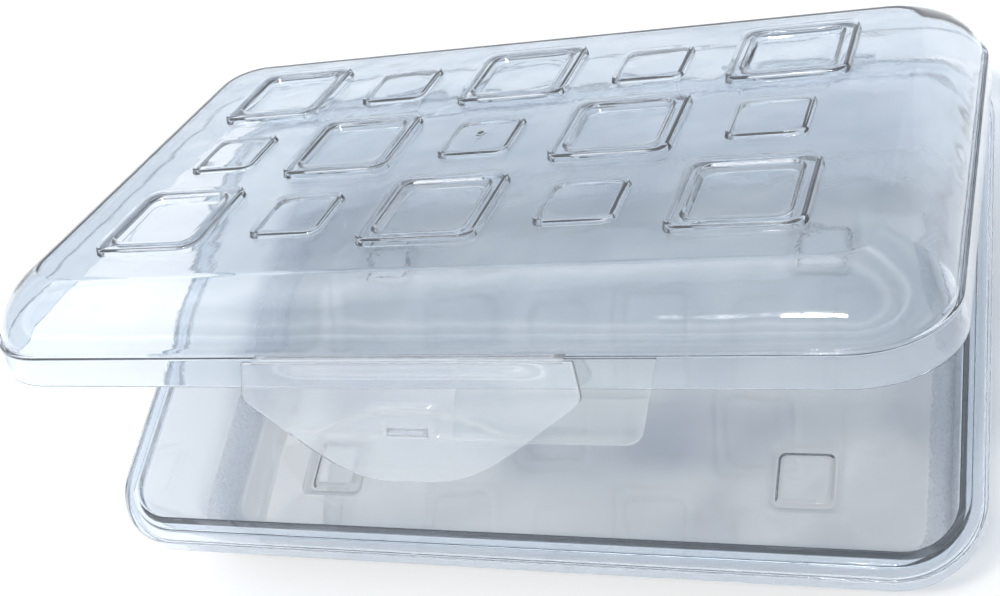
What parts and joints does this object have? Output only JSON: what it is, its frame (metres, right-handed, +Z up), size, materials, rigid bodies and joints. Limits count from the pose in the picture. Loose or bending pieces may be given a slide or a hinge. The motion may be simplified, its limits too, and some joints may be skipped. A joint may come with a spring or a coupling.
{
  "type": "soap loaf mould",
  "caption": "Clear hinged plastic mould case: shallow rimmed tray, domed lid with a chequer of raised squares, and a snap flap at the front.",
  "frame": {"origin": "the middle of the footprint of the partly open case, level with the underside of its feet", "axes": "+X to the right along the front, +Y from the front flap to the rear hinge, +Z up"},
  "size_m": [0.21, 0.1387, 0.1015],
  "materials": {
    "clear_plastic": "clear glossy injection-moulded plastic with a cool blue-grey tint",
    "clear_film": "thin clear glossy film"
  },
  "bodies": {
    "tray": {"base_tray": "clear_plastic", "hinge_web_left": "clear_plastic", "hinge_web_right": "clear_plastic"},
    "lid": {"lid_shell": "clear_plastic", "film_seal": "clear_film", "flap_web": "clear_plastic"},
    "flap": {"latch_flap": "clear_plastic"}
  },
  "joints": [
    {"name": "lid_hinge", "type": "hinge", "parent": "tray", "child": "lid", "pos_m": [0, 0.067, 0.0316], "axis": [-1, 0, 0], "range_deg": [-25.7, 149.6], "stiffness_Nm_per_rad": 0.089, "springref_deg": 20.05, "deforming": ["hinge_web_left", "hinge_web_right"]},
    {"name": "flap_hinge", "type": "hinge", "parent": "lid", "child": "flap", "pos_m": [0.0033, -0.05077, 0.09682], "axis": [-1, 0, 0], "range_deg": [-21, 78], "deforming": ["flap_web"]}
  ]
}
